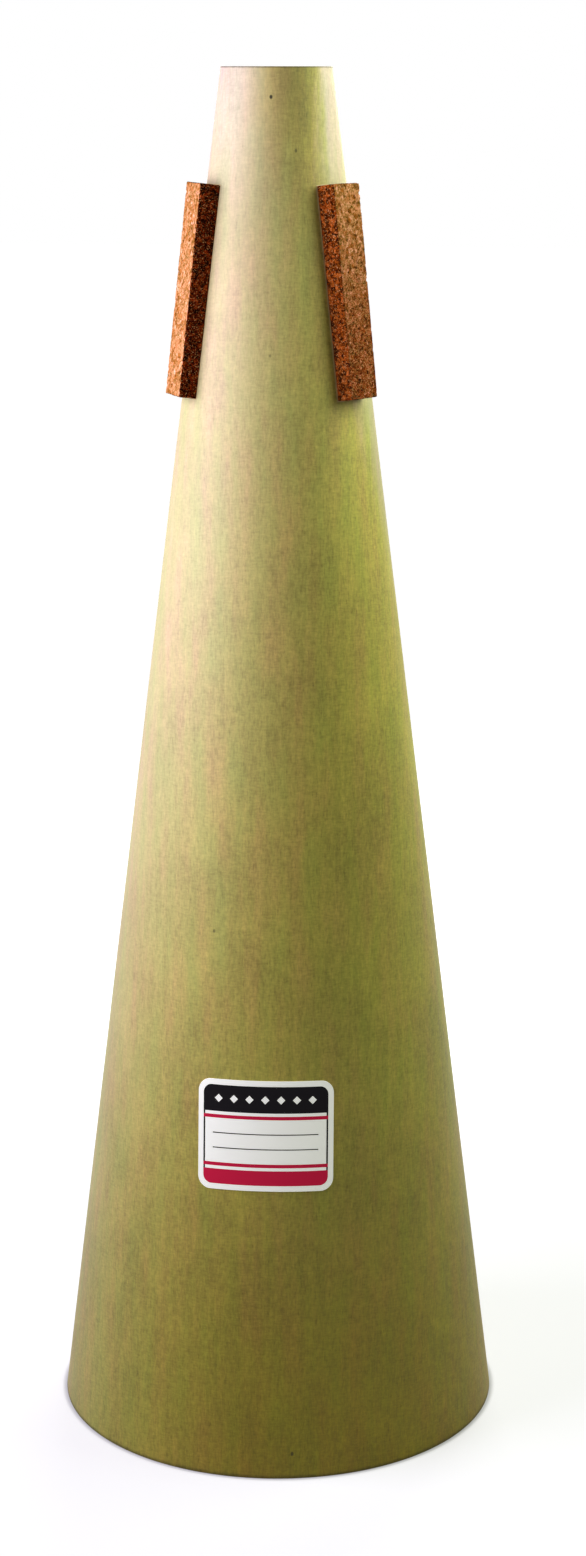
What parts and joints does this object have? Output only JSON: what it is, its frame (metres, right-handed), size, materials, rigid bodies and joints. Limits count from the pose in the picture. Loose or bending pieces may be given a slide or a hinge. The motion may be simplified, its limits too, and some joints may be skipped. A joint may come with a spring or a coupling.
{
  "type": "bass trombone mute",
  "caption": "Slender rolled plywood cone, closed by a disc at the wide end and open at the narrow mouth, with cork strips near the mouth that grip the inside of a bell.",
  "frame": {"origin": "centre of the rim that the mute stands on", "axes": "+Z along the cone's axis, from the wide end towards the mouth. -Y is the front, where the label is. The corks are at the rear and at 60 degrees to either side of the front."},
  "size_m": [0.139, 0.139, 0.42],
  "materials": {
    "face_veneer": "satin",
    "strap_veneer": "matte",
    "hoop_wood": "matte",
    "disc_plywood": "matte",
    "cork": "matte",
    "label_paper": "satin"
  },
  "bodies": {
    "root": {"cone_wall": "face_veneer", "seam_strap": "strap_veneer", "base_hoop": "hoop_wood", "base_disc": "disc_plywood", "cork_strip_right": "cork", "cork_strip_rear": "cork", "cork_strip_left": "cork", "front_label": "label_paper"}
  },
  "joints": []
}
